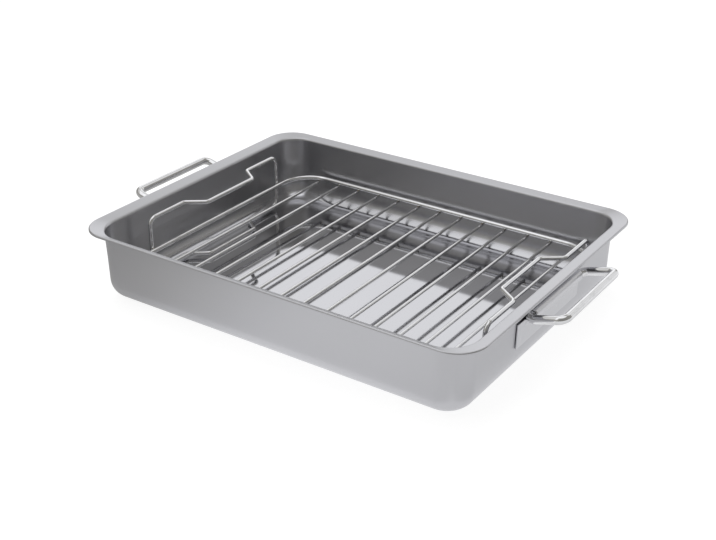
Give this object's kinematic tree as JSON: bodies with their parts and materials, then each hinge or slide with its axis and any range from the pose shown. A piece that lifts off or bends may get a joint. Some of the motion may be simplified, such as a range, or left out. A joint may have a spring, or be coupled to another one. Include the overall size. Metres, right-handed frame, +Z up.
{
  "type": "roasting pan with rack",
  "caption": "Rectangular stainless steel roasting pan with a rising flange at the rim, folding wire handles on its short ends and a lift-out wire rack that stands on stepped end frames.",
  "frame": {"origin": "under the middle of the pan's flat base", "axes": "+X along the pan towards the right handle, +Y from the front long side to the back one, +Z up"},
  "size_m": [0.4566, 0.308, 0.067],
  "materials": {
    "pan_steel": "satin drawn sheet, brighter on the base",
    "bracket_steel": "satin sheet",
    "handle_steel": "polished wire",
    "rack_steel": "polished wire"
  },
  "bodies": {
    "pan": {"pan_body": "pan_steel", "handle_bracket_left": "bracket_steel", "handle_bracket_right": "bracket_steel"},
    "left_handle": {"handle_left": "handle_steel"},
    "right_handle": {"handle_right": "handle_steel"},
    "rack": {"rack_ring": "rack_steel", "rack_wire_01": "rack_steel", "rack_wire_02": "rack_steel", "rack_wire_03": "rack_steel", "rack_wire_04": "rack_steel", "rack_wire_05": "rack_steel", "rack_wire_06": "rack_steel", "rack_wire_07": "rack_steel", "rack_wire_08": "rack_steel", "rack_wire_09": "rack_steel", "rack_wire_10": "rack_steel", "rack_wire_11": "rack_steel", "rack_wire_12": "rack_steel", "rack_wire_13": "rack_steel", "rack_end_frame_left": "rack_steel", "rack_end_frame_right": "rack_steel"}
  },
  "joints": [
    {"name": "left_handle_swing", "type": "hinge", "parent": "pan", "child": "left_handle", "pos_m": [-0.19326, 0, 0.0515], "axis": [0, 1, 0], "range_deg": [-105, 30]},
    {"name": "right_handle_swing", "type": "hinge", "parent": "pan", "child": "right_handle", "pos_m": [0.19326, 0, 0.0515], "axis": [0, -1, 0], "range_deg": [-105, 30]},
    {"name": "rack_lift", "type": "slide", "parent": "pan", "child": "rack", "axis": [0, 0, 1], "range_m": [0, 0.1]}
  ]
}
